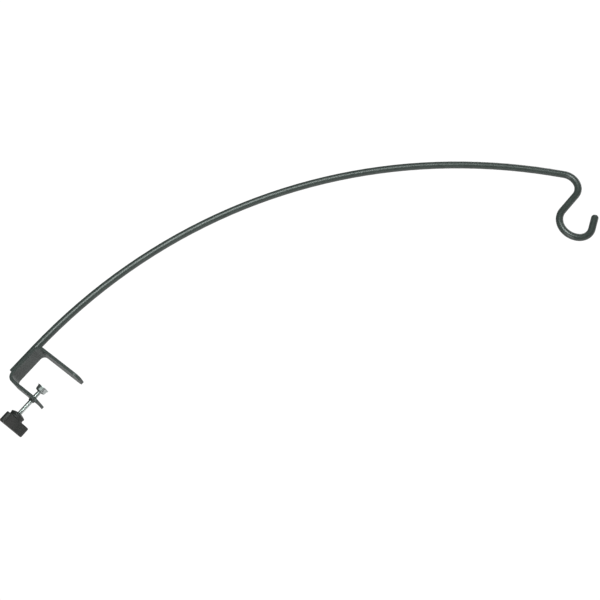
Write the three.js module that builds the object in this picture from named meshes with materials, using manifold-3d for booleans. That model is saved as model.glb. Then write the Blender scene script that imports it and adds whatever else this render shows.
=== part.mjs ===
// Clamp-on deck hook, in millimetres. The frame's origin lies where the screw's axis meets the underside of
// the top jaw. +Z is up along the screw, +X is the way that the jaws and the arm reach, Y is across the strap.

import * as THREE from "three";
import { mergeVertices } from "three/addons/utils/BufferGeometryUtils.js";
import Module from "manifold-3d";

const wasm = await Module();
wasm.setup();

// Angles shared by several shapes
const degree = Math.PI / 180;
const quarterTurn = Math.PI / 2;
const halfTurn = Math.PI;
const fullTurn = 2 * Math.PI;

// How far a cutting body runs past what it cuts, and how far joined bodies reach into each other
const overrun = 2;

// Gap left between pieces that rest on each other or are cut to each other's shape
const seatGap = 0.3;

// Gap between the screw and a wall that it moves in
const runningGap = 0.35;

// Vertices nearer than this are one vertex
const weldDistance = 1e-3;

// Clamp bracket: flat strap bent to a C
const strapWidth = 38.1;
const strapThickness = 4.76;
const strapEdgeBreak = 0.6;
const strapBendRadius = 7.94;
const jawOpening = 62;
const throatDepth = 46;
const topJawReach = 41;
const topJawCornerRadius = 12.7;
const lowerJawReach = 16.8;
const lowerJawCornerRadius = 5.5;
const lipStart = 5.6;
const lipBendRadius = 26;
const lipAngle = 10 * degree;

// Tapped collar drawn out of the lower jaw
const collarHeight = 3.6;
const collarRootRadius = 5.3;
const collarMouthRadius = 4.85;
const collarFlareRadius = 1.6;
const collarFlareSweep = 70 * degree;
const collarEdgeRadius = 0.4;
const holeEntryRadius = 0.9;

// Arm and hook: one round bar, followed from its foot behind the lower jaw to its tip
const rodRadius = 6.35;
const rodFootHeight = 8.5;
const rodFootEdge = 0.8;
const rodTipRounding = 5.3;
const sweepStart = -3.1;
const sweepRadius = 891.4;
const sweepTurn = 65.03 * degree;
const crownRadius = 26.7;
const crownTurn = 119 * degree;
const neckLength = 39.9;
const hookEntryRadius = 32.4;
const hookEntryTurn = 117.15 * degree;
const hookExitRadius = 24.6;
const hookExitTurn = 83.9 * degree;
const hookTipLength = 29.2;

// Weld beads in the two grooves between bar and back plate
const weldRadius = 4;
const weldLength = 42;
const weldTopHeight = -8;
const weldPlateDepth = 2.9;
const weldOffset = 6.1;

// Clamp screw
const screwRadius = 3.97;
const screwEdge = 0.5;
const screwNeckRadius = 2.5;
const peenedHeadRadius = 3.9;
const peenedHeadHeight = 2.3;
const screwHeadAcrossFlats = 12.7;
const screwHeadHeight = 5.2;
const screwHeadChamfer = 0.8;

// Swivel pad
const padTop = -41.7;
const padHeight = 9.8;
const padRimRadius = 10.2;
const padRimHeight = 1.5;
const padBodyRadius = 9.1;
const padShoulderRadius = 8.5;
const padShoulderHeight = 6.6;
const padBottomRadius = 4.8;
const padFaceRecessRadius = 6.6;
const padFaceRecessDepth = 1;
const padSocketRadius = 4.3;
const padSocketFloor = 5;
const padEdgeRadius = 0.5;

// Three-lobed knob
const knobTop = -95.3;
const knobShoulder = -98.9;
const lobeTop = -104.2;
const knobBottom = -121.8;
const hubRadius = 12.3;
const hubWaistRadius = 11.7;
const hubFilletRadius = 3.2;
const lobeCount = 3;
const lobeDistance = 20.8;
const lobeRadius = 6;
const lobeHeading = 24.5 * degree;
const waistRadius = 12.9;
const lobeEdgeRadius = 2.2;
const knobSeatRadius = 5.6;
const domeRimDrop = 0.3;

// Hex pocket under the knob, and the cap that closes it
const capRadius = 8.6;
const capThickness = 2.4;
const capEdgeRadius = 0.6;
const capDishRadius = 6;
const capDishDepth = 0.5;
const capSpigotRadius = 5.2;
const capSpigotHeight = 1;
const headDepth = 4.4;

// Facets
const rodSides = 24;
const sweepSteps = 40;
const crownSteps = 20;
const hookEntrySteps = 20;
const hookExitSteps = 14;
const roundSides = 36;
const hexSides = 6;
const arcSteps = 3;
const bendSteps = 6;
const bevelSteps = 3;
const weldSteps = 6;

// Places that follow from the sizes above
const plateInner = -throatDepth;
const plateOuter = plateInner - strapThickness;
const lowerJawTop = -jawOpening;
const lowerJawBottom = lowerJawTop - strapThickness;
const collarBottom = lowerJawBottom - collarHeight;
const rodAxisX = plateOuter - rodRadius;
const holeRadius = screwRadius + runningGap;
const padBottom = padTop - padHeight;
const peenedHeadBottom = padTop - padSocketFloor + seatGap;
const headRadius = screwHeadAcrossFlats / Math.sqrt(3);
const headBottom = knobBottom + headDepth;
const headTop = headBottom + screwHeadHeight;

// Solid of a geometry: its positions alone, joined into one closed surface.
function solidOf(geometry) {
  const bare = new THREE.BufferGeometry();
  const loose = geometry.index ? geometry.toNonIndexed() : geometry;
  bare.setAttribute("position", loose.getAttribute("position"));
  const merged = mergeVertices(bare, weldDistance);
  return new wasm.Manifold(
    new wasm.Mesh({
      numProp: 3,
      vertProperties: merged.getAttribute("position").array,
      triVerts: new Uint32Array(merged.index.array),
    }),
  );
}

// Geometry of a solid, ready for a mesh.
function geometryOf(solid) {
  const mesh = solid.getMesh();
  const geometry = new THREE.BufferGeometry();
  geometry.setAttribute("position", new THREE.BufferAttribute(mesh.vertProperties, 3));
  geometry.setIndex(new THREE.BufferAttribute(mesh.triVerts, 1));
  const flat = geometry.toNonIndexed();
  flat.computeVertexNormals();
  return flat;
}

// Solid turned about Z from an outline of radius and height, listed anticlockwise.
function revolve(outline) {
  const points = outline.getPoints(arcSteps);
  return solidOf(new THREE.LatheGeometry(points, roundSides).rotateX(quarterTurn));
}

// Outline drawn in X and Z, carried across Y about the middle plane, with its long edges broken.
function acrossStrap(outline, width, edge) {
  const geometry = new THREE.ExtrudeGeometry(outline, {
    depth: width - 2 * edge,
    curveSegments: bendSteps,
    bevelEnabled: true,
    bevelThickness: edge,
    bevelSize: edge,
    bevelOffset: -edge,
    bevelSegments: 1,
  });
  geometry.translate(0, 0, edge - width / 2);
  return solidOf(geometry.rotateX(quarterTurn));
}

// Outline drawn in X and Y, carried up Z from one height to another.
function upright(outline, bottom, top, edge = 0) {
  const geometry = new THREE.ExtrudeGeometry(outline, {
    depth: top - bottom - 2 * edge,
    curveSegments: bendSteps,
    bevelEnabled: edge > 0,
    bevelThickness: edge,
    bevelSize: edge,
    bevelOffset: -edge,
    bevelSegments: bevelSteps,
  });
  return solidOf(geometry.translate(0, 0, bottom + edge));
}

// Side view of the bent strap.
function strapOutline() {
  const outerRadius = strapBendRadius + strapThickness;
  const bendX = plateInner + strapBendRadius;
  const topBendZ = -strapBendRadius;
  const lowerBendZ = lowerJawTop + strapBendRadius;
  const lipCentreZ = lowerJawTop - lipBendRadius;
  const lipInnerRadius = lipBendRadius - strapThickness;
  const lipTurnEnd = quarterTurn - lipAngle;
  const lipBendReach = lipBendRadius * Math.sin(lipAngle);
  const lipStraight = (lowerJawReach - lipStart - lipBendReach) / Math.cos(lipAngle);
  const lip = new THREE.Vector2(Math.cos(lipAngle), -Math.sin(lipAngle)).multiplyScalar(lipStraight);
  const lipEnd = (radius) =>
    new THREE.Vector2(lipStart, lipCentreZ)
      .add(new THREE.Vector2(Math.cos(lipTurnEnd), Math.sin(lipTurnEnd)).multiplyScalar(radius))
      .add(lip);
  const underEnd = lipEnd(lipInnerRadius);
  const overEnd = lipEnd(lipBendRadius);
  const outline = new THREE.Shape();
  outline.moveTo(topJawReach, 0);
  outline.lineTo(topJawReach, strapThickness);
  outline.lineTo(bendX, strapThickness);
  outline.absarc(bendX, topBendZ, outerRadius, quarterTurn, halfTurn, false);
  outline.absarc(bendX, lowerBendZ, outerRadius, halfTurn, halfTurn + quarterTurn, false);
  outline.absarc(lipStart, lipCentreZ, lipInnerRadius, quarterTurn, lipTurnEnd, true);
  outline.lineTo(underEnd.x, underEnd.y);
  outline.lineTo(overEnd.x, overEnd.y);
  outline.absarc(lipStart, lipCentreZ, lipBendRadius, lipTurnEnd, quarterTurn, false);
  outline.absarc(bendX, lowerBendZ, strapBendRadius, halfTurn + quarterTurn, halfTurn, true);
  outline.absarc(bendX, topBendZ, strapBendRadius, halfTurn, quarterTurn, true);
  outline.closePath();
  return outline;
}

// Plan view of a jaw, from behind the back plate to its rounded tip.
function jawPlan(reach, cornerRadius) {
  const side = strapWidth / 2 + overrun;
  const half = strapWidth / 2;
  const back = plateOuter - overrun;
  const cornerX = reach - cornerRadius;
  const cornerY = half - cornerRadius;
  const plan = new THREE.Shape();
  plan.moveTo(back, -side);
  plan.lineTo(cornerX, -side);
  plan.lineTo(cornerX, -half);
  plan.absarc(cornerX, -cornerY, cornerRadius, -quarterTurn, 0, false);
  plan.absarc(cornerX, cornerY, cornerRadius, 0, quarterTurn, false);
  plan.lineTo(cornerX, side);
  plan.lineTo(back, side);
  plan.closePath();
  return plan;
}

// Collar drawn downwards out of the lower jaw, still without its hole.
function collar() {
  const flareX = collarRootRadius + collarFlareRadius;
  const flareZ = lowerJawBottom - collarFlareRadius;
  const flareEnd = halfTurn - collarFlareSweep;
  const rootZ = lowerJawBottom + strapThickness / 2;
  const outline = new THREE.Path();
  outline.moveTo(0, collarBottom);
  outline.lineTo(collarMouthRadius - collarEdgeRadius, collarBottom);
  outline.absarc(
    collarMouthRadius - collarEdgeRadius,
    collarBottom + collarEdgeRadius,
    collarEdgeRadius,
    -quarterTurn,
    0,
    false,
  );
  outline.absarc(flareX, flareZ, collarFlareRadius, halfTurn, flareEnd, true);
  outline.lineTo(flareX + collarFlareRadius * Math.cos(flareEnd), rootZ);
  outline.lineTo(0, rootZ);
  return revolve(outline);
}

// Hole through lower jaw and collar, with the rounded entry that drawing the collar leaves.
function collarHole() {
  const entryX = holeRadius + holeEntryRadius;
  const outline = new THREE.Path();
  outline.moveTo(0, collarBottom - overrun);
  outline.lineTo(holeRadius, collarBottom - overrun);
  outline.absarc(entryX, lowerJawTop - holeEntryRadius, holeEntryRadius, halfTurn, quarterTurn, true);
  outline.lineTo(entryX, lowerJawTop + overrun);
  outline.lineTo(0, lowerJawTop + overrun);
  return revolve(outline);
}

function makeBracket() {
  const strap = acrossStrap(strapOutline(), strapWidth, strapEdgeBreak);
  const middle = -jawOpening / 2;
  const lowest = collarBottom - overrun;
  const topPlan = upright(jawPlan(topJawReach, topJawCornerRadius), middle, strapThickness + overrun);
  const lowerPlan = upright(jawPlan(lowerJawReach, lowerJawCornerRadius), lowest, middle);
  const trimmed = strap.intersect(topPlan.add(lowerPlan));
  return trimmed.add(collar()).subtract(collarHole());
}

// Stretch of the bar's middle line: straight, or an arc that turns left when its turn is positive.
function stretch(length, radius, turn, steps) {
  return { length, radius, turn, steps };
}

// The bar's middle line in the plane Y = 0, kept as even numbers of stations for each stretch, so that the
// long sweep takes few facets and the tight bends take many.
class BarLine extends THREE.Curve {
  constructor(foot, stretches) {
    super();
    this.stations = [{ point: foot.clone(), heading: quarterTurn }];
    stretches.forEach((part) => this.follow(part));
  }

  follow({ length, radius, turn, steps }) {
    const { point, heading } = this.stations.at(-1);
    const side = heading + Math.sign(turn) * quarterTurn;
    const centre = new THREE.Vector2(Math.cos(side), Math.sin(side)).multiplyScalar(radius).add(point);
    const ahead = new THREE.Vector2(Math.cos(heading), Math.sin(heading));
    for (let step = 1; step <= steps; step += 1) {
      const turned = (turn * step) / steps;
      const next = point.clone();
      if (turn) {
        next.rotateAround(centre, turned);
      } else {
        next.addScaledVector(ahead, (length * step) / steps);
      }
      this.stations.push({ point: next, heading: heading + turned });
    }
  }

  get steps() {
    return this.stations.length - 1;
  }

  getPointAt(share) {
    const place = share * this.steps;
    const before = this.stations[Math.floor(place)].point;
    const after = this.stations[Math.ceil(place)].point;
    const point = before.clone().lerp(after, place - Math.floor(place));
    return new THREE.Vector3(point.x, 0, point.y);
  }

  getTangentAt(share) {
    const { heading } = this.stations[Math.round(share * this.steps)];
    return new THREE.Vector3(Math.cos(heading), 0, Math.sin(heading));
  }
}

function barLine() {
  const footZ = lowerJawTop + rodFootHeight;
  return new BarLine(new THREE.Vector2(rodAxisX, footZ), [
    stretch(sweepStart - footZ, 0, 0, 1),
    stretch(0, sweepRadius, -sweepTurn, sweepSteps),
    stretch(0, crownRadius, -crownTurn, crownSteps),
    stretch(neckLength, 0, 0, 1),
    stretch(0, hookEntryRadius, hookEntryTurn, hookEntrySteps),
    stretch(0, hookExitRadius, hookExitTurn, hookExitSteps),
    stretch(hookTipLength, 0, 0, 1),
  ]);
}

// Ring that rounds off the end of the bar at one station of its middle line.
function endCutter(rounding, point, outward) {
  const outside = rodRadius + overrun;
  const profile = new THREE.Path();
  profile.moveTo(outside, overrun);
  profile.lineTo(rodRadius - rounding, overrun);
  profile.absarc(rodRadius - rounding, -rounding, rounding, quarterTurn, 0, true);
  profile.lineTo(outside, -rounding);
  profile.closePath();
  const geometry = new THREE.LatheGeometry(profile.getPoints(arcSteps), rodSides);
  const acrossBar = new THREE.Vector3(0, 1, 0);
  const inPlane = new THREE.Vector3().crossVectors(outward, acrossBar);
  geometry.applyMatrix4(new THREE.Matrix4().makeBasis(acrossBar, outward, inPlane.negate()));
  return solidOf(geometry.translate(point.x, point.y, point.z));
}

function makeArm() {
  const line = barLine();
  const section = new THREE.Shape();
  section.absarc(0, 0, rodRadius, 0, fullTurn, false);
  const bar = solidOf(
    new THREE.ExtrudeGeometry(section, {
      steps: line.steps,
      curveSegments: rodSides / 2,
      extrudePath: line,
      bevelEnabled: false,
    }),
  );
  const foot = endCutter(rodFootEdge, line.getPointAt(0), line.getTangentAt(0).negate());
  const tip = endCutter(rodTipRounding, line.getPointAt(1), line.getTangentAt(1));
  return bar.subtract(foot).subtract(tip);
}

// Weld bead on one side: a round-ended run of metal, less the bar and the plate that it lies against.
function makeWeld(side) {
  const bead = new THREE.CapsuleGeometry(weldRadius, weldLength - 2 * weldRadius, weldSteps, roundSides / 2);
  bead.rotateX(quarterTurn);
  bead.translate(plateOuter - weldPlateDepth, side * weldOffset, weldTopHeight - weldLength / 2);
  const bottom = weldTopHeight - weldLength - overrun;
  const top = weldTopHeight + overrun;
  const barSpace = new THREE.Shape();
  barSpace.absarc(rodAxisX, 0, rodRadius + seatGap, 0, fullTurn, false);
  const plateSpace = new THREE.Shape();
  plateSpace.moveTo(plateOuter - seatGap, -strapWidth);
  plateSpace.lineTo(plateInner, -strapWidth);
  plateSpace.lineTo(plateInner, strapWidth);
  plateSpace.lineTo(plateOuter - seatGap, strapWidth);
  plateSpace.closePath();
  return solidOf(bead)
    .subtract(upright(barSpace, bottom, top))
    .subtract(upright(plateSpace, bottom, top));
}

// Regular hexagon across whose flats the given width is measured.
function hexagon(acrossFlats) {
  const radius = acrossFlats / Math.sqrt(3);
  const corner = new THREE.Vector2(radius, 0).rotateAround(new THREE.Vector2(), lobeHeading);
  const corners = Array.from({ length: hexSides }, (_, index) =>
    corner.clone().rotateAround(new THREE.Vector2(), (index * fullTurn) / hexSides),
  );
  return new THREE.Shape(corners);
}

// Screw: hex head at the bottom, shank, reduced neck through the pad and peened head above it.
function makeScrew() {
  const shankTop = padBottom - seatGap;
  const peenedTop = peenedHeadBottom + peenedHeadHeight;
  const shank = new THREE.Path();
  shank.moveTo(0, headTop - seatGap);
  shank.lineTo(screwRadius, headTop - seatGap);
  shank.lineTo(screwRadius, shankTop - screwEdge);
  shank.lineTo(screwRadius - screwEdge, shankTop);
  shank.lineTo(screwNeckRadius, shankTop);
  shank.lineTo(screwNeckRadius, peenedHeadBottom);
  shank.lineTo(peenedHeadRadius, peenedHeadBottom);
  shank.quadraticCurveTo(peenedHeadRadius, peenedTop, 0, peenedTop);
  const face = new THREE.Path();
  face.moveTo(0, headBottom);
  face.lineTo(headRadius - screwHeadChamfer, headBottom);
  face.lineTo(headRadius, headBottom + screwHeadChamfer);
  face.lineTo(headRadius, headTop + overrun);
  face.lineTo(0, headTop + overrun);
  const head = upright(hexagon(screwHeadAcrossFlats), headBottom - overrun, headTop);
  return head.intersect(revolve(face)).add(revolve(shank));
}

// Pad: flanged cup with a socket for the peened head and a bore for the screw's neck.
function makePad() {
  const rimBottom = padTop - padRimHeight;
  const shoulder = padTop - padShoulderHeight;
  const socketFloor = padTop - padSocketFloor;
  const boreRadius = screwNeckRadius + runningGap;
  const recess = padTop - padFaceRecessDepth;
  const outline = new THREE.Path();
  outline.moveTo(boreRadius, padBottom);
  outline.lineTo(padBottomRadius - padEdgeRadius, padBottom);
  outline.absarc(padBottomRadius - padEdgeRadius, padBottom + padEdgeRadius, padEdgeRadius, -quarterTurn, 0);
  outline.quadraticCurveTo(padShoulderRadius, padBottom + padEdgeRadius, padShoulderRadius, shoulder);
  outline.lineTo(padBodyRadius, rimBottom);
  outline.lineTo(padRimRadius - padEdgeRadius, rimBottom);
  outline.absarc(padRimRadius - padEdgeRadius, rimBottom + padEdgeRadius, padEdgeRadius, -quarterTurn, 0);
  outline.absarc(padRimRadius - padEdgeRadius, padTop - padEdgeRadius, padEdgeRadius, 0, quarterTurn);
  outline.lineTo(padFaceRecessRadius, padTop);
  outline.lineTo(padFaceRecessRadius - padFaceRecessDepth, recess);
  outline.lineTo(padSocketRadius, recess);
  outline.lineTo(padSocketRadius, socketFloor);
  outline.lineTo(boreRadius, socketFloor);
  outline.closePath();
  return revolve(outline);
}

// Outline of the lobes: round tips joined by hollows that are tangent to them.
function lobesOutline() {
  const half = halfTurn / lobeCount;
  const reach = lobeDistance * Math.cos(half);
  const hollowRadius =
    (lobeDistance ** 2 + waistRadius ** 2 - lobeRadius ** 2 - 2 * waistRadius * reach) /
    (2 * (reach + lobeRadius - waistRadius));
  const hollowDistance = waistRadius + hollowRadius;
  const open = Math.atan2(hollowDistance * Math.sin(half), hollowDistance * Math.cos(half) - lobeDistance);
  const outline = new THREE.Shape();
  for (let lobe = 0; lobe < lobeCount; lobe += 1) {
    const heading = lobeHeading + (lobe * fullTurn) / lobeCount;
    const between = heading + half;
    const tip = new THREE.Vector2(Math.cos(heading), Math.sin(heading)).multiplyScalar(lobeDistance);
    const hollow = new THREE.Vector2(Math.cos(between), Math.sin(between)).multiplyScalar(hollowDistance);
    const first = heading + open + halfTurn;
    const last = first - 2 * (open - half);
    outline.absarc(tip.x, tip.y, lobeRadius, heading - open, heading + open, false);
    outline.absarc(hollow.x, hollow.y, hollowRadius, first, last, true);
  }
  return outline;
}

// Hub of the knob above the lobes: domed top, full shoulder, slight waist.
function knobHub() {
  const outline = new THREE.Path();
  outline.moveTo(0, lobeTop - lobeEdgeRadius);
  outline.lineTo(hubWaistRadius, lobeTop - lobeEdgeRadius);
  outline.lineTo(hubWaistRadius, lobeTop);
  outline.quadraticCurveTo(hubRadius, (lobeTop + knobShoulder) / 2, hubRadius, knobShoulder);
  outline.quadraticCurveTo(hubRadius - lobeEdgeRadius, knobTop - domeRimDrop, knobSeatRadius, knobTop);
  outline.lineTo(0, knobTop);
  return revolve(outline);
}

// Hollow sweep from the lobes' flat tops up to the hub, kept inside the lobes' own outline.
function knobFillet() {
  const foot = hubWaistRadius + hubFilletRadius;
  const outline = new THREE.Path();
  outline.moveTo(0, lobeTop - lobeEdgeRadius);
  outline.lineTo(foot, lobeTop - lobeEdgeRadius);
  outline.lineTo(foot, lobeTop);
  outline.quadraticCurveTo(hubWaistRadius, lobeTop, hubWaistRadius, lobeTop + hubFilletRadius);
  outline.lineTo(0, lobeTop + hubFilletRadius);
  const above = lobeTop + hubFilletRadius + overrun;
  const withinLobes = upright(lobesOutline(), lobeTop - lobeEdgeRadius, above, lobeEdgeRadius);
  return revolve(outline).intersect(withinLobes);
}

// Space inside the knob: bore for the shank, hex pocket for the head, round seat for the cap.
function knobPocket() {
  const boreRadius = screwRadius + seatGap;
  const seatTop = knobBottom + capThickness + seatGap;
  const bore = new THREE.Path();
  bore.moveTo(0, headBottom);
  bore.lineTo(boreRadius, headBottom);
  bore.lineTo(boreRadius, knobTop + overrun);
  bore.lineTo(0, knobTop + overrun);
  const seat = new THREE.Path();
  seat.moveTo(0, knobBottom - overrun);
  seat.lineTo(capRadius + seatGap, knobBottom - overrun);
  seat.lineTo(capRadius + seatGap, seatTop);
  seat.lineTo(0, seatTop);
  const pocket = upright(hexagon(screwHeadAcrossFlats + 2 * seatGap), knobBottom, headTop + seatGap);
  return revolve(bore).add(revolve(seat)).add(pocket);
}

function makeKnob() {
  const lobes = upright(lobesOutline(), knobBottom, lobeTop, lobeEdgeRadius);
  return lobes.add(knobHub()).add(knobFillet()).subtract(knobPocket());
}

// Cap: dished disc with a spigot that holds the screw head up.
function makeCap() {
  const top = knobBottom + capThickness;
  const outline = new THREE.Path();
  outline.moveTo(0, knobBottom + capDishDepth);
  outline.lineTo(capDishRadius - capDishDepth, knobBottom + capDishDepth);
  outline.lineTo(capDishRadius, knobBottom);
  outline.lineTo(capRadius - capEdgeRadius, knobBottom);
  outline.absarc(capRadius - capEdgeRadius, knobBottom + capEdgeRadius, capEdgeRadius, -quarterTurn, 0);
  outline.lineTo(capRadius, top);
  outline.lineTo(capSpigotRadius, top);
  outline.lineTo(capSpigotRadius, top + capSpigotHeight);
  outline.lineTo(0, top + capSpigotHeight);
  return revolve(outline);
}

// Finishes
const powderCoat = { color: 0x3f4744, roughness: 0.55, metalness: 0.2 };
const zinc = { color: 0xc9cfcb, roughness: 0.3, metalness: 1 };
const mouldedPlastic = { color: 0x2b2b2a, roughness: 0.6, metalness: 0 };

function place(group, name, solid, finish) {
  const mesh = new THREE.Mesh(geometryOf(solid), new THREE.MeshStandardMaterial(finish));
  mesh.name = name;
  group.add(mesh);
}

function makeDeckHook() {
  const group = new THREE.Group();
  group.name = "deck_hook";
  place(group, "clamp_bracket", makeBracket(), powderCoat);
  place(group, "arm_rod", makeArm(), powderCoat);
  place(group, "weld_bead_near", makeWeld(-1), powderCoat);
  place(group, "weld_bead_far", makeWeld(1), powderCoat);
  place(group, "clamp_screw", makeScrew(), zinc);
  place(group, "swivel_pad", makePad(), zinc);
  place(group, "knob", makeKnob(), mouldedPlastic);
  place(group, "knob_cap", makeCap(), mouldedPlastic);
  return group;
}

export default makeDeckHook();
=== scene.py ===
"""Looks of the clamp-on deck hook: a threaded zinc screw, a pressed pad, a moulded knob, rippled welds and
powder-coated steel, under soft studio light on white. Lengths are metres in the part's own frame."""

import math

import bmesh
import bpy
from mathutils import Matrix, Vector, noise


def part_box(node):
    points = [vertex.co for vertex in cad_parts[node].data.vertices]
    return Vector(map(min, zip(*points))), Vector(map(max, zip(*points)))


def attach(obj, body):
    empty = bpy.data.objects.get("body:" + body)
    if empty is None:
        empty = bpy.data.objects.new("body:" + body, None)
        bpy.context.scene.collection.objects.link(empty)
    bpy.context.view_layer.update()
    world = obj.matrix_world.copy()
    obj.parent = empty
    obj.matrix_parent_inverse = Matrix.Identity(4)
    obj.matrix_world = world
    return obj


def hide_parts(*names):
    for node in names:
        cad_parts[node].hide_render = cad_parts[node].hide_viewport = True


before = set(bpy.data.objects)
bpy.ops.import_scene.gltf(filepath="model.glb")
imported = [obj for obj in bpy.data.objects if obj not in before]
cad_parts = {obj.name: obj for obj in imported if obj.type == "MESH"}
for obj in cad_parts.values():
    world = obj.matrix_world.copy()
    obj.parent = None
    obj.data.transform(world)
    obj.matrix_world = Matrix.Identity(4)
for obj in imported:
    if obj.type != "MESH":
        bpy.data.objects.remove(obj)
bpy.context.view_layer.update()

MM = 0.001
FULL_TURN = 2 * math.pi

# Camera: where it looks, from which side, how far it is turned about its own axis, and its lens
AIM = Vector((232.04, 0, 326.0)) * MM
CAMERA_AZIMUTH = math.radians(15.44)
CAMERA_ELEVATION = math.radians(-19.355)
CAMERA_ROLL = math.radians(39.81)
CAMERA_DISTANCE = 1445.85 * MM
CAMERA_CLIP = (0.01, 30)
PHOTO_SIDE = 600
FOCAL_PIXELS = 870.96
SENSOR_WIDTH = 36.0

# Corners of the CAD nodes that the pieces are measured from
screw_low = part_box("clamp_screw")[0]
pad_low, pad_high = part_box("swivel_pad")
knob_low, knob_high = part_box("knob")
cap_low, cap_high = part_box("knob_cap")
bracket_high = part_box("clamp_bracket")[1]
arm_low, arm_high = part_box("arm_rod")

# Bar, and the outer face of the back plate that it touches
BAR_RADIUS = (arm_high.y - arm_low.y) / 2
PLATE_OUTER = -50.76 * MM
BAR_AXIS_X = PLATE_OUTER - BAR_RADIUS

# Own meshes: points nearer than this are joined, and pad and cap have this many sides
MERGE_DISTANCE = 0.0002 * MM
TURNED_SIDES = 72

# CAD nodes that stay: corners nearer than this shade as one, and flatter edges than this look smooth
JOIN_DISTANCE = 0.01 * MM
SMOOTH_LIMIT = math.radians(38)

# Thread: 5/16 inch, 18 turns to the inch; at both ends it fades out and sinks into the core
THREAD_PITCH = 25.4 * MM / 18
THREAD_CREST = 3.95 * MM
THREAD_ROOT = 3.12 * MM
THREAD_SIDES = 40
THREAD_TOP = pad_low.z - 0.9 * MM
THREAD_BOTTOM = knob_high.z - 4 * MM
THREAD_RUNOUT_TURNS = 1.5
THREAD_SINK = 0.06 * MM
THREAD_SINK_RATE = 4

# One pitch of the thread, as (share of the pitch, share of the thread's depth)
THREAD_PROFILE = ((0.0, 0.0), (0.06, 0.1), (0.38, 0.93), (0.44, 1.0), (0.56, 1.0), (0.62, 0.93), (0.94, 0.1))

# Screw: core inside the thread, neck through the pad's bore, peened head in its socket
CORE_RADIUS = THREAD_ROOT - 0.04 * MM
CORE_FOOT = screw_low.z + 5 * MM
CORE_TOP = pad_low.z - 0.3 * MM
CORE_CHAMFER = 0.3 * MM
NECK_RADIUS = 2.5 * MM
PEENED_RADIUS = 3.85 * MM
PEENED_FLOOR = pad_high.z - 4.7 * MM
PEENED_SIDE = 0.8 * MM
PEENED_ROUNDING = 1.3 * MM

# Peened head in mm under and over its rounding, as (radius, height over its floor)
PEENED_BASE = ((2.5, 0), (3.65, 0), (3.85, 0.3))
PEENED_CROWN = ((1.54, 2.2), (0.462, 2.28), (0, 2.28))

# Dents of the hammer on the peened head: from which height over its floor, how many to the metre, how deep
DENT_START = 0.9 * MM
DENT_SCALE = 900
DENT_DEPTH = 0.16 * MM

# Hex head, as (radius of the corners, height over the screw's lowest point)
HEX_SIDES = 6
HEX_RADIUS = 12.7 * MM / math.sqrt(3)
HEX_PROFILE = (
    (0, 0.0),
    (HEX_RADIUS - 0.8 * MM, 0.0),
    (HEX_RADIUS, 0.7 * MM),
    (HEX_RADIUS, 4.9 * MM),
    (0, 5.2 * MM),
)

# Pad: a foot with a bore, a bell that opens to the shoulder, a side, a rolled rim and a ringed face
PAD_BORE_RADIUS = 2.85 * MM
PAD_FOOT_RADIUS = 4.8 * MM
PAD_SHOULDER_RADIUS = 8.5 * MM
PAD_SHOULDER_DEPTH = 6.6 * MM
PAD_ROUNDING = 0.5 * MM
PAD_RIM_INSET = 0.7 * MM
PAD_RIM_DEPTH = 1.5 * MM
PAD_BELL_STEPS = 8
PAD_RINGS = 4
PAD_RING_START = 0.95 * MM
PAD_RING_STEP = 0.6 * MM
PAD_RING_WIDTH = 0.32 * MM
PAD_RING_DEPTH = 0.1 * MM

# Side and socket of the pad in mm, as (radius, depth under its top)
PAD_SIDE = ((8.62, 6.1), (9.0, 2.2), (9.1, 1.75), (9.25, 1.55))
PAD_SOCKET = ((6.8, 0), (6.6, 0.05), (5.8, 0.85), (5.55, 1), (4.5, 1), (4.3, 1.15), (4.3, 5))

# Knob: outline
LOBES = 3
LOBE_HEADING = math.radians(24.5)
LOBE_DISTANCE = 20.8 * MM
LOBE_RADIUS = 6.0 * MM
WAIST_RADIUS = 12.9 * MM
KNOB_SIDES = 216

# Knob: hub on top of the lobes, and the sweep that joins them
HUB_RADIUS = 12.3 * MM
HUB_WAIST_RADIUS = 11.7 * MM
HUB_ROUNDING = 1.5 * MM
KNOB_SHOULDER = -98.9 * MM
LOBE_TOP = -104.2 * MM
SWEEP_REACH = 3.2 * MM
SWEEP_HEIGHT = 2.6 * MM
SWEEP_STEPS = 6

# Knob: soft edges, at most this wide and this share of the lobe's reach past the hub, and draft
KNOB_EDGE = 2.0 * MM
KNOB_EDGE_SHARE = 0.8
KNOB_EDGE_LEAD = 0.2 * MM
KNOB_DRAFT = 0.12 * MM

# Knob: parting line, as (share of the draft, mm over the seam)
PARTING_LINE = ((0.4, -0.5), (0.2, -0.14), (0, -0.05), (0, 0.05), (0.2, 0.14), (0.4, 0.5))

# Knob in mm: hub's side, as (radius, height over the lobes), and dome, as (radius, depth under the top)
HUB_SIDE = ((12.0, 3.6), (12.3, 4.7))
KNOB_DOME = ((9.0, 1.12), (7.2, 0.5), (5.8, 0.12), (5.4, 0))

# Knob: bore for the screw, pocket for its hex head, seat for the cap
KNOB_BORE_RADIUS = 4.27 * MM
KNOB_BORE_CHAMFER = 0.35 * MM
KNOB_POCKET_RADIUS = 8.0 * MM
KNOB_POCKET_HEIGHT = 9.8 * MM
KNOB_SEAT_HOLE = 8.9 * MM
KNOB_SEAT_DEPTH = 2.6 * MM
KNOB_SEAT_CHAMFER = 0.3 * MM
KNOB_SEAT_MARGIN = 1.4 * MM

# Cap: underside in mm, as (radius, height over its lowest point): gate mark, ring and dished edge
CAP_GATE = ((0, 0.42), (0.7, 0.40), (0.9, 0.62), (1.4, 0.66))
CAP_RING = ((3.6, 0.6), (3.75, 0.42), (4.15, 0.42), (4.3, 0.58))
CAP_DISH = ((5.3, 0.5), (5.8, 0.12), (6.1, 0))
CAP_ROUNDING = 0.6 * MM
SPIGOT_RADIUS = 5.2 * MM
SPIGOT_HEIGHT = 1 * MM

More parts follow.
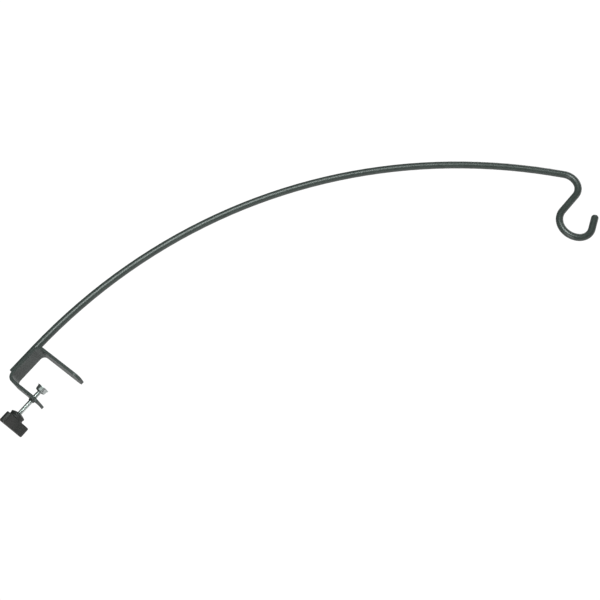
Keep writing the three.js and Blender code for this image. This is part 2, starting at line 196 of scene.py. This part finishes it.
# Weld bead: angles round the bar in degrees, from where it touches the plate; toe is how far out it ends
WELD_RIPPLES = 17
WELD_ROWS_PER_RIPPLE = 8
WELD_COLUMNS = 14
WELD_ROOT_ANGLE = 22
WELD_BAR_ANGLE = 74
WELD_TOE = 9.9 * MM
WELD_BITE = 0.1 * MM
WELD_CROWN = 0.5 * MM
WELD_CROWN_POWER = 0.75
WELD_RIPPLE = 0.34 * MM
WELD_RIPPLE_REST = 0.4
WELD_LAG = 0.9 * MM
WELD_SCALLOP = 0.45 * MM
WELD_WANDER = 0.5 * MM
WELD_WANDER_PACE = 9
WELD_SIDES_APART = 3
WELD_NOISE_LEVEL = 1.7
WELD_END_SHARE = 0.12
WELD_HEEL_SHARE = 0.6

# Colours: linear red, green and blue, and opaque
WHITE = (1.0, 1.0, 1.0, 1.0)
COAT_DARK = (0.034, 0.044, 0.040, 1.0)
COAT_LIGHT = (0.054, 0.067, 0.061, 1.0)
COAT_FLECK = (0.095, 0.112, 0.104, 1.0)
# Painted highlight for the strap's rounded long corners
COAT_CORNER_HIGHLIGHT = (0.15, 0.165, 0.155, 1.0)
# Painted shade for the strap's cut sides
COAT_SIDE_SHADE = (0.022, 0.029, 0.027, 1.0)
# Painted shade along the folds of the lower bend
COAT_FOLD_SHADE = (0.016, 0.021, 0.020, 1.0)
SCREW_ZINC = ((0.60, 0.645, 0.63, 1.0), (0.76, 0.79, 0.775, 1.0))
PAD_ZINC = ((0.47, 0.51, 0.50, 1.0), (0.61, 0.64, 0.63, 1.0))
# Darker tone for the hollows of the zinc
ZINC_HOLLOW_DARK = (0.16, 0.175, 0.17, 1.0)
PLASTIC_DARK = (0.016, 0.016, 0.015, 1.0)
PLASTIC_LIGHT = (0.031, 0.031, 0.029, 1.0)
PLASTIC_DUST = (0.11, 0.11, 0.10, 1.0)
PAPER_GREY = (0.86, 0.86, 0.86, 1.0)
PAPER_WHITE = (0.9, 0.9, 0.9, 1.0)

# Noise of the surfaces, as (how many to the metre, levels of detail, roughness of the detail)
COAT_FLECKS = (900, 3, 0.7)
COAT_SHEEN = (140, 3, 0.6)
COAT_PEEL = (520, 2, 0.5)
# Patches of the painted highlight on the strap's long corners
COAT_HIGHLIGHT_PATCHES = (260, 4, 0.7)
COAT_FOLDS = (150, 4, 0.65)
ZINC_PATCHES = (210, 4, 0.6)
ZINC_DULLED = (700, 3, 0.6)
ZINC_SHEEN = (420, 3, 0.6)
ZINC_SCRATCHES = (900, 2, 0.5)
ZINC_GRAIN = (1600, 2, 0.5)
PLASTIC_FLOW = (70, 3, 0.55)
PLASTIC_DUSTY = (380, 3, 0.6)
PLASTIC_SHEEN = (300, 3, 0.6)
PLASTIC_SWELL = (240, 2, 0.5)
PLASTIC_GRAIN_SCALE = 2600
PAPER_TONE = (3, 2, 0.5)

# Noise drawn out along Z: shares of the scale along X, Y and Z
FOLDS_DRAWN = (1.0, 1.0, 0.16)
SCRATCHES_DRAWN = (1.0, 1.0, 0.12)
FLOW_DRAWN = (1.0, 1.0, 0.5)

# Strap, as depths in from its long sides: where the painted shade on the cut sides and the painted highlight
# on the rounded corners beside them fade in and out
SIDE_SHADE_DEPTHS = (0.12 * MM, 0.03 * MM)
HIGHLIGHT_INNER = (0.6 * MM, 0.35 * MM)
HIGHLIGHT_OUTER = (0.03 * MM, 0.2 * MM)

# Strap: the folds of its lower bend, with the painted shade along them, fade in between these heights and
# between these places along X
FOLD_HEIGHTS = (-40 * MM, -58 * MM)
FOLD_PLACES = (-28 * MM, -40 * MM)

# Surroundings: bright for the camera; as light, their strength goes from the third value to the fourth while
# the direction's Y plus BACKDROP_LEAN times its X goes from the first to the second
BACKDROP_SEEN = 1.05
BACKDROP_FADE = (-0.3, 0.8, 0.05, 0.85)
BACKDROP_LEAN = 0.5

# Lights: how far each stands from AIM towards the camera, up in the picture, and along X, Y and Z
CLAMP = Vector((0, 0, -50)) * MM
LIGHTS = {
    "key": {"width": 1.0, "power": 31, "near": 1.55, "up": 0.92, "shift": (0, 0, 0), "aim": AIM},
    "top": {"width": 1.6, "power": 16, "near": 0, "up": 0, "shift": (0, 0.3, 2.2), "aim": AIM},
    "rear": {"width": 1.8, "power": 10, "near": -2.2, "up": 0, "shift": (0.6, 0, 0.8), "aim": AIM},
    "fill": {"width": 1.2, "power": 14, "near": 0, "up": 0, "shift": (0.3, -0.5, -1.6), "aim": CLAMP},
}
KEY_TINT = (0.91, 1.0, 0.97)

FLOOR_LEVEL = -1.75
FLOOR_HALF = 40.0
FLOOR_GLOW = 0.72


# Materials: a small set of helpers over Blender's node trees


class Tree:
    """Node tree with short ways to add, feed and join nodes."""

    def __init__(self, tree):
        self.tree = tree

    def add(self, kind, inputs=None, **settings):
        node = self.tree.nodes.new(kind)
        for key, value in settings.items():
            setattr(node, key, value)
        for key, value in (inputs or {}).items():
            self.feed(node, key, value)
        return node

    def feed(self, node, key, value):
        if isinstance(value, bpy.types.NodeSocket):
            self.tree.links.new(value, node.inputs[key])
        else:
            node.inputs[key].default_value = value

    def ramp(self, value, low, high, to=(0.0, 1.0), **settings):
        inputs = {
            "Value": value,
            "From Min": low,
            "From Max": high,
            "To Min": to[0],
            "To Max": to[1],
        }
        return self.add("ShaderNodeMapRange", inputs, **settings).outputs["Result"]

    def math(self, operation, *values):
        node = self.add("ShaderNodeMath", dict(enumerate(values)), operation=operation)
        return node.outputs["Value"]

    def mix(self, factor, first, second):
        node = self.add("ShaderNodeMix", {0: factor, 6: first, 7: second}, data_type="RGBA")
        return node.outputs[2]


class Finish(Tree):
    """Node tree of one material, with its shader and the object coordinates that its noise lies in."""

    def __init__(self, name):
        self.material = bpy.data.materials.new(name)
        self.material.use_nodes = True
        super().__init__(self.material.node_tree)
        self.shader = self.tree.nodes["Principled BSDF"]
        self.place = self.add("ShaderNodeTexCoord").outputs["Object"]

    def stretched(self, scale):
        mapping = self.add("ShaderNodeMapping", {"Vector": self.place, "Scale": scale})
        return mapping.outputs["Vector"]

    def noise(self, scale, detail, roughness, vector=None, distortion=0.0):
        inputs = {
            "Vector": vector or self.place,
            "Scale": scale,
            "Detail": detail,
            "Roughness": roughness,
            "Distortion": distortion,
        }
        return self.add("ShaderNodeTexNoise", inputs).outputs["Fac"]

    def cells(self, scale):
        inputs = {"Vector": self.place, "Scale": scale}
        return self.add("ShaderNodeTexVoronoi", inputs).outputs["Distance"]

    def edges(self, low, high):
        pointiness = self.add("ShaderNodeNewGeometry").outputs["Pointiness"]
        return self.ramp(pointiness, low, high)

    def bump(self, height, distance, strength, before=None):
        inputs = {"Height": height, "Distance": distance, "Strength": strength}
        if before is not None:
            inputs["Normal"] = before
        return self.add("ShaderNodeBump", inputs).outputs["Normal"]

    def finish(self, **sockets):
        for key, value in sockets.items():
            self.feed(self.shader, key.replace("_", " "), value)
        return self.material


def painted_side_light(made, off_middle, base):
    """Coat with a patchy painted highlight beside the strap's long corners and painted shade on its cut
    sides.
    """

    def band(depths, to=(0.0, 1.0)):
        start, end = depths
        return made.ramp(off_middle, bracket_high.y - start, bracket_high.y - end, to)

    # Painted highlight, in patches, on the strap's rounded long corners
    patchy = made.ramp(made.noise(*COAT_HIGHLIGHT_PATCHES), 0.42, 0.62, to=(0.0, 0.4))
    highlight_mask = made.math("MULTIPLY", made.math("MULTIPLY", band(HIGHLIGHT_INNER), band(HIGHLIGHT_OUTER)), patchy)
    base = made.mix(highlight_mask, base, COAT_CORNER_HIGHLIGHT)
    # Painted shade on the strap's cut sides
    return made.mix(band(SIDE_SHADE_DEPTHS, to=(0.0, 0.6)), base, COAT_SIDE_SHADE)


def folded_bend(made, height, reach, base, skin):
    """Wrinkles that the bending left in the coat of the lower bend, with painted shade along their folds."""
    folds = made.noise(*COAT_FOLDS, made.stretched(FOLDS_DRAWN), distortion=0.4)
    near_bend = made.math("MULTIPLY", made.ramp(height, *FOLD_HEIGHTS), made.ramp(reach, *FOLD_PLACES))
    skin = made.bump(made.math("MULTIPLY", folds, near_bend), 0.5 * MM, 0.6, skin)
    # Painted shade along the folds
    fold_shade = made.math("MULTIPLY", made.ramp(folds, 0.52, 0.62, to=(0.0, 0.75)), near_bend)
    return made.mix(fold_shade, base, COAT_FOLD_SHADE), skin


def powder_coat(name, gloss_range, top_coat, mottle_scale, peel, strap=False):
    """Dark green-grey powder coat: mottled and slightly orange-peeled; on the strap also a painted highlight
    on its long corners, painted shade on its cut sides, and wrinkles with painted shade along their folds.
    """
    made = Finish(name)
    patches = made.noise(mottle_scale, 3, 0.45)
    flecks = made.noise(*COAT_FLECKS)
    base = made.mix(made.ramp(patches, 0.22, 0.78), COAT_DARK, COAT_LIGHT)
    base = made.mix(made.ramp(flecks, 0.56, 0.72, to=(0.0, 0.35)), base, COAT_FLECK)
    gloss = made.ramp(made.noise(*COAT_SHEEN), 0.3, 0.7, to=gloss_range)
    skin = made.bump(made.noise(*COAT_PEEL), 0.22 * MM, peel)
    skin = made.bump(flecks, 0.08 * MM, peel, skin)
    if strap:
        split = made.add("ShaderNodeSeparateXYZ", {"Vector": made.place}).outputs
        # Painted highlight on the long corners and painted shade on the cut sides
        base = painted_side_light(made, made.math("ABSOLUTE", split["Y"]), base)
        base, skin = folded_bend(made, split["Z"], split["X"], base, skin)
    made.finish(Coat_Weight=top_coat, Coat_Roughness=0.28, Specular_IOR_Level=0.45)
    return made.finish(Base_Color=base, Roughness=gloss, Normal=skin)


def bright_zinc(name, gloss_range, tones):
    """Bright zinc plating: two tones in patches, fine scratches along the axis, darker in the hollows."""
    made = Finish(name)
    base = made.mix(made.ramp(made.noise(*ZINC_PATCHES), 0.35, 0.68), *tones)
    patchy = made.ramp(made.noise(*ZINC_DULLED), 0.3, 0.7, to=(0.25, 0.8))
    # Darker in the hollows, where the surface curves inward
    base = made.mix(made.math("MULTIPLY", made.edges(0.49, 0.44), patchy), base, ZINC_HOLLOW_DARK)
    gloss = made.ramp(made.noise(*ZINC_SHEEN), 0.3, 0.7, to=gloss_range)
    scratches = made.noise(*ZINC_SCRATCHES, made.stretched(SCRATCHES_DRAWN))
    skin = made.bump(scratches, 0.06 * MM, 0.5)
    skin = made.bump(made.noise(*ZINC_GRAIN), 0.04 * MM, 0.4, skin)
    return made.finish(Base_Color=base, Roughness=gloss, Metallic=1.0, Normal=skin)


def moulded_plastic(name):
    """Charcoal moulded plastic: fine grain, faint flow marks, dustier in the hollows."""
    made = Finish(name)
    flow = made.noise(*PLASTIC_FLOW, made.stretched(FLOW_DRAWN), distortion=0.6)
    base = made.mix(made.ramp(flow, 0.35, 0.68), PLASTIC_DARK, PLASTIC_LIGHT)
    patchy = made.ramp(made.noise(*PLASTIC_DUSTY), 0.4, 0.7, to=(0.0, 0.35))
    base = made.mix(made.math("MULTIPLY", made.edges(0.5, 0.44), patchy), base, PLASTIC_DUST)
    gloss = made.ramp(made.noise(*PLASTIC_SHEEN), 0.3, 0.7, to=(0.46, 0.62))
    skin = made.bump(made.cells(PLASTIC_GRAIN_SCALE), 0.06 * MM, 0.55)
    skin = made.bump(made.noise(*PLASTIC_SWELL), 0.12 * MM, 0.35, skin)
    return made.finish(Base_Color=base, Roughness=gloss, Normal=skin)


# Meshes: each shape is rings of points joined by quads


def closed_up(mesh):
    """Joins points that coincide, closes ends that sit inside the piece, and turns every face outward."""
    shape = bmesh.new()
    shape.from_mesh(mesh)
    bmesh.ops.remove_doubles(shape, verts=shape.verts, dist=MERGE_DISTANCE)
    bmesh.ops.dissolve_degenerate(shape, edges=shape.edges, dist=MERGE_DISTANCE)
    bmesh.ops.holes_fill(shape, edges=[edge for edge in shape.edges if edge.is_boundary], sides=0)
    bmesh.ops.recalc_face_normals(shape, faces=shape.faces)
    shape.to_mesh(mesh)
    shape.free()


def mesh_piece(name, points, faces, material, body, slot):
    """Closed mesh object with smooth faces, riding on its body; the slot argument is not used."""
    mesh = bpy.data.meshes.new(name)
    mesh.from_pydata(points, [], faces)
    mesh.validate()
    closed_up(mesh)
    mesh.polygons.foreach_set("use_smooth", [True] * len(mesh.polygons))
    mesh.materials.append(material)
    piece = bpy.data.objects.new(name, mesh)
    bpy.context.scene.collection.objects.link(piece)
    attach(piece, body)
    return piece


def round_z(radius, angle, height):
    """Point at a distance and an angle from the screw's axis."""
    return (radius * math.cos(angle), radius * math.sin(angle), height)


def ring_faces(rings, sides, first=0):
    """Quads between rings that follow each other, each ring closed on itself."""
    faces = []
    for ring in range(rings - 1):
        low = first + ring * sides
        high = low + sides
        for side in range(sides):
            after = (side + 1) % sides
            faces.append((low + side, low + after, high + after, high + side))
    return faces


def turned(profile, sides):
    """Points and faces of a profile of (radius, height) turned about Z; ends on the axis close as fans."""
    points = []
    for radius, height in profile:
        points += [round_z(radius, FULL_TURN * side / sides, height) for side in range(sides)]
    return points, ring_faces(len(profile), sides)


def arc(centre_r, centre_z, radius, start, end, steps):
    """Points of an arc in (radius, height), from one angle in degrees to another."""
    found = []
    for step in range(steps + 1):
        angle = math.radians(start + (end - start) * step / steps)
        found.append((centre_r + radius * math.cos(angle), centre_z + radius * math.sin(angle)))
    return found


def over(level, rows):
    """Profile points from rows of (radius, height over a level) in mm."""
    return [(radius * MM, level + height * MM) for radius, height in rows]


def under(level, rows):
    """Profile points from rows of (radius, depth under a level) in mm."""
    return [(radius * MM, level - depth * MM) for radius, depth in rows]


def thread_helix(first):
    """The thread: one helical strip whose columns are the points of the profile, faded out at both ends."""
    turns = int((THREAD_TOP - THREAD_BOTTOM) / THREAD_PITCH)
    rows = (turns + 1) * THREAD_SIDES
    columns = len(THREAD_PROFILE)
    points, faces = [], []
    for row in range(rows + 1):
        base = THREAD_BOTTOM + THREAD_PITCH * (row / THREAD_SIDES - 1)
        fade = min(1.0, row / THREAD_SIDES, (rows - row) / (THREAD_RUNOUT_TURNS * THREAD_SIDES))
        sunk = THREAD_SINK * (1 - min(1.0, fade * THREAD_SINK_RATE))
        for along, depth in THREAD_PROFILE:
            radius = THREAD_ROOT + (THREAD_CREST - THREAD_ROOT) * depth * fade - sunk
            points.append(round_z(radius, FULL_TURN * row / THREAD_SIDES, base + along * THREAD_PITCH))
    for row in range(rows):
        here = first + row * columns
        following = here + columns
        for column in range(columns - 1):
            faces.append((here + column, following + column, following + column + 1, here + column + 1))
        if row + THREAD_SIDES < rows:
            above = here + THREAD_SIDES * columns
            faces.append((here + columns - 1, following + columns - 1, above + columns, above))
    return points, faces


def screw_core():
    """Turned part of the screw: core inside the thread, neck through the pad and hammered head above it."""
    profile = [(0, CORE_FOOT), (CORE_RADIUS, CORE_FOOT), (CORE_RADIUS, THREAD_BOTTOM)]
    profile += [(CORE_RADIUS, THREAD_TOP - THREAD_PITCH / 2), (CORE_RADIUS, CORE_TOP - CORE_CHAMFER)]
    profile += [(CORE_RADIUS - CORE_CHAMFER, CORE_TOP), (NECK_RADIUS, CORE_TOP)]
    profile += over(PEENED_FLOOR, PEENED_BASE)
    profile += arc(PEENED_RADIUS - PEENED_ROUNDING, PEENED_FLOOR + PEENED_SIDE, PEENED_ROUNDING, 0, 75, 5)
    profile += over(PEENED_FLOOR, PEENED_CROWN)
    points, faces = turned(profile, THREAD_SIDES)
    for index, (x, y, z) in enumerate(points):
        if z > PEENED_FLOOR + DENT_START:
            dent = noise.noise(Vector((x, y, z)) * DENT_SCALE) * DENT_DEPTH
            points[index] = (x, y, z + min(0.0, dent))
    return points, faces


def make_screw(material):
    """Screw: turned core, threaded shank, and the hex head that sits in the knob."""
    points, faces = screw_core()
    more, more_faces = thread_helix(len(points))
    points += more
    faces += more_faces
    faces += ring_faces(len(HEX_PROFILE), HEX_SIDES, len(points))
    for radius, height in HEX_PROFILE:
        for corner in range(HEX_SIDES):
            angle = LOBE_HEADING + FULL_TURN * corner / HEX_SIDES
            points.append(round_z(radius, angle, screw_low.z + height))
    piece = mesh_piece("screw_threaded", points, faces, material, "screw", "zinc")
    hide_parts("clamp_screw")


def make_pad(material):
    """Pad: pressed cup with a rolled rim, turning rings on its face and a socket for the screw's head."""
    top, bottom, rim = pad_high.z, pad_low.z, pad_high.x
    foot_edge = PAD_FOOT_RADIUS - PAD_ROUNDING
    foot_top = bottom + PAD_ROUNDING
    profile = [(PAD_BORE_RADIUS, bottom), (foot_edge, bottom)]
    profile += arc(foot_edge, foot_top, PAD_ROUNDING, -75, -10, 4)
    for step in range(1, PAD_BELL_STEPS + 1):
        share = step / PAD_BELL_STEPS
        first, middle, last = (1 - share) ** 2, 2 * share * (1 - share), share**2
        radius = first * PAD_FOOT_RADIUS + (middle + last) * PAD_SHOULDER_RADIUS
        profile.append((radius, (first + middle) * foot_top + last * (top - PAD_SHOULDER_DEPTH)))
    profile += under(top, PAD_SIDE)
    profile.append((rim - PAD_RIM_INSET, top - PAD_RIM_DEPTH))
    profile += arc(rim - PAD_ROUNDING, top - 2 * PAD_ROUNDING, PAD_ROUNDING, -80, 0, 4)
    profile += arc(rim - PAD_ROUNDING, top - PAD_ROUNDING, PAD_ROUNDING, 0, 80, 4)
    for ring in range(PAD_RINGS):
        outer = rim - PAD_RING_START - ring * PAD_RING_STEP
        middle = outer - PAD_RING_WIDTH / 2
        profile += [(outer, top), (middle, top - PAD_RING_DEPTH), (outer - PAD_RING_WIDTH, top)]
    profile += under(top, PAD_SOCKET)
    profile += [(PAD_BORE_RADIUS, profile[-1][1]), profile[0]]
    piece = mesh_piece("pad_pressed", *turned(profile, TURNED_SIDES), material, "pad", "zinc")
    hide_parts("swivel_pad")


def lobe_reach(angle):
    """Distance from the screw's axis to the knob's outline at an angle: round tips and hollow sides."""
    half = math.pi / LOBES
    turn = (angle - LOBE_HEADING + half) % (2 * half) - half
    reach = LOBE_DISTANCE * math.cos(half)
    top = LOBE_DISTANCE**2 + WAIST_RADIUS**2 - LOBE_RADIUS**2 - 2 * WAIST_RADIUS * reach
    hollow = top / (2 * (reach + LOBE_RADIUS - WAIST_RADIUS))
    centre = WAIST_RADIUS + hollow
    joint = Vector((centre * math.cos(half) - LOBE_DISTANCE, centre * math.sin(half)))
    joint = joint.normalized() * LOBE_RADIUS
    change = math.atan2(joint.y, LOBE_DISTANCE + joint.x)
    if abs(turn) <= change:
        across = LOBE_DISTANCE * math.sin(abs(turn))
        return LOBE_DISTANCE * math.cos(turn) + math.sqrt(max(0.0, LOBE_RADIUS**2 - across**2))
    away = half - abs(turn)
    across = centre * math.sin(away)
    return centre * math.cos(away) - math.sqrt(max(0.0, hollow**2 - across**2))


def knob_profile(reach):
    """Profile of the knob at one angle, from the pocket under it, out and up to the bore on top."""
    low, high = knob_low.z, knob_high.z
    edge = min(KNOB_EDGE, (reach - HUB_WAIST_RADIUS) * KNOB_EDGE_SHARE)
    root = min(HUB_WAIST_RADIUS + SWEEP_REACH, reach - edge)
    seam = (low + LOBE_TOP) / 2
    pocket_top, seat = low + KNOB_POCKET_HEIGHT, low + KNOB_SEAT_DEPTH
    profile = [(KNOB_BORE_RADIUS, pocket_top), (KNOB_POCKET_RADIUS, pocket_top)]
    profile += [(KNOB_POCKET_RADIUS, seat), (KNOB_SEAT_HOLE, seat)]
    profile += [(KNOB_SEAT_HOLE, low + KNOB_SEAT_CHAMFER), (KNOB_SEAT_HOLE + KNOB_SEAT_CHAMFER, low)]
    profile += [(KNOB_SEAT_HOLE + KNOB_SEAT_MARGIN, low), (reach - edge - KNOB_EDGE_LEAD, low)]
    profile += arc(reach - edge, low + edge, edge, -80, 0, 6)
    profile += [(reach - KNOB_DRAFT * inset, seam + height * MM) for inset, height in PARTING_LINE]
    profile += arc(reach - KNOB_DRAFT - edge, LOBE_TOP - edge, edge, 0, 84, 6)
    for step in range(SWEEP_STEPS + 1):
        share = step / SWEEP_STEPS
        outer = (1 - share) ** 2
        profile.append((outer * root + (1 - outer) * HUB_WAIST_RADIUS, LOBE_TOP + share**2 * SWEEP_HEIGHT))
    profile += over(LOBE_TOP, HUB_SIDE)
    profile += arc(HUB_RADIUS - HUB_ROUNDING, KNOB_SHOULDER, HUB_ROUNDING, 10, 62, 4)
    profile += under(high, KNOB_DOME)
    profile += [(KNOB_BORE_RADIUS + KNOB_BORE_CHAMFER, high), (KNOB_BORE_RADIUS, high - KNOB_BORE_CHAMFER)]
    profile.append(profile[0])
    return profile


def make_knob(material):
    """Knob: three moulded lobes with soft edges, draft and a parting line, swept up into a domed hub."""
    angles = [FULL_TURN * side / KNOB_SIDES for side in range(KNOB_SIDES)]
    rings = list(zip(*(knob_profile(lobe_reach(angle)) for angle in angles)))
    points = []
    for ring in rings:
        points += [round_z(radius, angle, height) for angle, (radius, height) in zip(angles, ring)]
    faces = ring_faces(len(rings), KNOB_SIDES)
    piece = mesh_piece("knob_moulded", points, faces, material, "screw", "knob_plastic")
    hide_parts("knob")


def make_cap(material):
    """Cap: dished plug with a raised ring and the stub that its moulding gate leaves."""
    low, high, radius = cap_low.z, cap_high.z, cap_high.x
    profile = over(low, CAP_GATE + CAP_RING + CAP_DISH)
    profile += arc(radius - CAP_ROUNDING, low + CAP_ROUNDING, CAP_ROUNDING, -80, 0, 5)
    profile += [(radius, high - SPIGOT_HEIGHT), (SPIGOT_RADIUS, high - SPIGOT_HEIGHT)]
    profile += [(SPIGOT_RADIUS, high), (0, high)]
    piece = mesh_piece("cap_moulded", *turned(profile, TURNED_SIDES), material, "screw", "knob_plastic")
    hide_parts("knob_cap")


def weld_row(share, side):
    """Points (X, Y) of one row across the bead, from bar to plate and back inside, and its fullness."""
    from_end = min(share, 1 - share) / WELD_END_SHARE
    full = math.sqrt(1 - (1 - min(1.0, from_end)) ** 2)
    within = (share * WELD_RIPPLES) % 1.0
    ripple = 1 - (2 * within - 1) ** 2
    where = Vector((share * WELD_WANDER_PACE, side * WELD_SIDES_APART, WELD_NOISE_LEVEL))
    wander = noise.noise(where) * WELD_WANDER
    climb = math.radians(WELD_ROOT_ANGLE + (WELD_BAR_ANGLE - WELD_ROOT_ANGLE) * full)
    on_bar = Vector((BAR_AXIS_X + BAR_RADIUS * math.cos(climb), BAR_RADIUS * math.sin(climb)))
    root_y = BAR_RADIUS * math.sin(math.radians(WELD_ROOT_ANGLE))
    toe_y = root_y + (WELD_TOE - root_y + wander + WELD_SCALLOP * (ripple - 0.5)) * full
    on_plate = Vector((PLATE_OUTER + WELD_BITE, toe_y))
    outward = Vector((-1.0, 1.0)).normalized()
    row = []
    for column in range(WELD_COLUMNS + 1):
        across = column / WELD_COLUMNS
        crown = max(0.0, math.sin(math.pi * across)) ** WELD_CROWN_POWER
        height = (WELD_CROWN + WELD_RIPPLE * (ripple - WELD_RIPPLE_REST)) * crown * full
        row.append(on_bar.lerp(on_plate, across) + outward * height)
    row.append(Vector((PLATE_OUTER - WELD_BITE, root_y * WELD_HEEL_SHARE)))
    return row, full


def make_weld(side, node, material):
    """Weld bead in the groove between bar and plate: overlapping crescents, rounded off at both ends."""
    low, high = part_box(node)
    rows = WELD_RIPPLES * WELD_ROWS_PER_RIPPLE
    points = []
    for index in range(rows + 1):
        share = index / rows
        row, full = weld_row(share, side)
        for column, place in enumerate(row):
            lag = WELD_LAG * max(0.0, math.sin(math.pi * column / WELD_COLUMNS)) * full
            points.append((place.x, side * place.y, high.z - share * (high.z - low.z) - lag))
    faces = ring_faces(rows + 1, WELD_COLUMNS + 2)
    piece = mesh_piece(node + "_rippled", points, faces, material, "frame", "powder_coat")
    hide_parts(node)


def soft_shading():
    """Modifier's node group: joins split corners and shades smoothly over edges flatter than SMOOTH_LIMIT."""
    group = bpy.data.node_groups.new("soft_shading", "GeometryNodeTree")
    for way in ("INPUT", "OUTPUT"):
        group.interface.new_socket("Geometry", in_out=way, socket_type="NodeSocketGeometry")
    made = Tree(group)
    entry = made.add("NodeGroupInput").outputs[0]
    joined = made.add("GeometryNodeMergeByDistance", {"Geometry": entry, "Distance": JOIN_DISTANCE})
    angle = made.add("GeometryNodeInputMeshEdgeAngle").outputs["Unsigned Angle"]
    sharp = made.add("FunctionNodeCompare", {"A": angle, "B": SMOOTH_LIMIT}, operation="GREATER_THAN")
    inputs = {"Mesh": joined.outputs["Geometry"], "Edge Sharpness": sharp.outputs["Result"]}
    normals = made.add("GeometryNodeSetMeshNormal", inputs, mode="SHARPNESS")
    made.add("NodeGroupOutput", {0: normals.outputs["Mesh"]})
    return group


def dress_node(name, material, shading):
    """Gives a CAD node its finish, and soft shading by modifiers alone, so its mesh stays as it is."""
    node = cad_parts[name]
    node.data.materials.clear()
    node.data.materials.append(material)
    node.modifiers.new("soft_shading", "NODES").node_group = shading
    node.modifiers.new("even_flats", "WEIGHTED_NORMAL").keep_sharp = True


# Stage


def make_camera():
    """Camera at the photograph's view; returns the directions back to the camera and up in the picture."""
    flat = math.cos(CAMERA_ELEVATION)
    side, ahead = math.sin(CAMERA_AZIMUTH), math.cos(CAMERA_AZIMUTH)
    back = Vector((side * flat, -ahead * flat, math.sin(CAMERA_ELEVATION)))
    level = Vector((ahead, side, 0))
    upward = back.cross(level)
    right = level * math.cos(CAMERA_ROLL) + upward * math.sin(CAMERA_ROLL)
    up = upward * math.cos(CAMERA_ROLL) - level * math.sin(CAMERA_ROLL)
    data = bpy.data.cameras.new("camera")
    data.sensor_width = SENSOR_WIDTH
    data.lens = FOCAL_PIXELS / PHOTO_SIDE * SENSOR_WIDTH
    data.clip_start, data.clip_end = CAMERA_CLIP
    camera = bpy.data.objects.new("camera", data)
    bpy.context.scene.collection.objects.link(camera)
    turn = Matrix((right, up, back)).transposed().to_4x4()
    camera.matrix_world = Matrix.Translation(AIM + back * CAMERA_DISTANCE) @ turn
    bpy.context.scene.camera = camera
    return back, up


def area_light(name, place, aim, width, power):
    """Square soft light that faces a point and that the camera doesn't see."""
    data = bpy.data.lights.new(name, "AREA")
    data.shape = "SQUARE"
    data.size = width
    data.energy = power
    data.color = KEY_TINT if name == "key" else WHITE[:3]
    light = bpy.data.objects.new(name, data)
    bpy.context.scene.collection.objects.link(light)
    light.location = place
    light.rotation_mode = "QUATERNION"
    light.rotation_quaternion = (aim - place).to_track_quat("-Z", "Y")
    light.visible_camera = False


def make_world():
    """White for the camera, and softer and greyer as light, so that round pieces keep dark edges."""
    world = bpy.data.worlds.new("studio")
    world.use_nodes = True
    world.node_tree.nodes.clear()
    made = Tree(world.node_tree)
    towards = made.add("ShaderNodeTexCoord").outputs["Generated"]
    split = made.add("ShaderNodeSeparateXYZ", {"Vector": towards}).outputs
    leaned = made.math("MULTIPLY_ADD", split["X"], BACKDROP_LEAN, split["Y"])
    start, end, weak, strong = BACKDROP_FADE
    strength = made.ramp(leaned, start, end, to=(weak, strong), interpolation_type="SMOOTHSTEP")
    lit = made.add("ShaderNodeBackground", {"Color": WHITE, "Strength": strength}).outputs["Background"]
    seen = made.add("ShaderNodeBackground", {"Color": WHITE, "Strength": BACKDROP_SEEN}).outputs["Background"]
    by_camera = made.add("ShaderNodeLightPath").outputs["Is Camera Ray"]
    mixed = made.add("ShaderNodeMixShader", {"Fac": by_camera, 1: lit, 2: seen}).outputs["Shader"]
    made.add("ShaderNodeOutputWorld", {"Surface": mixed})
    bpy.context.scene.world = world


def make_floor():
    """Large pale floor, far below, that throws no light back on the part."""
    made = Finish("floor_paper")
    base = made.mix(made.noise(*PAPER_TONE), PAPER_GREY, PAPER_WHITE)
    made.finish(Base_Color=base, Roughness=0.9, Emission_Color=WHITE, Emission_Strength=FLOOR_GLOW)
    half, level = FLOOR_HALF, FLOOR_LEVEL
    corners = [(-half, -half, level), (half, -half, level), (half, half, level), (-half, half, level)]
    mesh = bpy.data.meshes.new("floor")
    mesh.from_pydata(corners, [], [(0, 1, 2, 3)])
    mesh.materials.append(made.material)
    floor = bpy.data.objects.new("floor", mesh)
    bpy.context.scene.collection.objects.link(floor)
    floor.visible_diffuse = False
    floor.visible_glossy = False


bpy.context.scene.view_settings.view_transform = "Standard"
back, up = make_camera()
make_world()
make_floor()
for name, light in LIGHTS.items():
    place = AIM + back * light["near"] + up * light["up"] + Vector(light["shift"])
    area_light(name, place, light["aim"], light["width"], light["power"])

coat = powder_coat("powder_coat_bar", (0.36, 0.46), 0.35, mottle_scale=55, peel=0.15)
plate_coat = powder_coat("powder_coat_plate", (0.51, 0.57), 0.1, mottle_scale=26, peel=0.5, strap=True)
zinc = bright_zinc("bright_zinc", (0.2, 0.36), SCREW_ZINC)
pad_zinc = bright_zinc("pad_zinc", (0.34, 0.48), PAD_ZINC)
plastic = moulded_plastic("knob_moulding")

shading = soft_shading()
dress_node("arm_rod", coat, shading)
dress_node("clamp_bracket", plate_coat, shading)
make_weld(-1, "weld_bead_near", coat)
make_weld(1, "weld_bead_far", coat)
make_screw(zinc)
make_pad(pad_zinc)
make_knob(plastic)
make_cap(plastic)
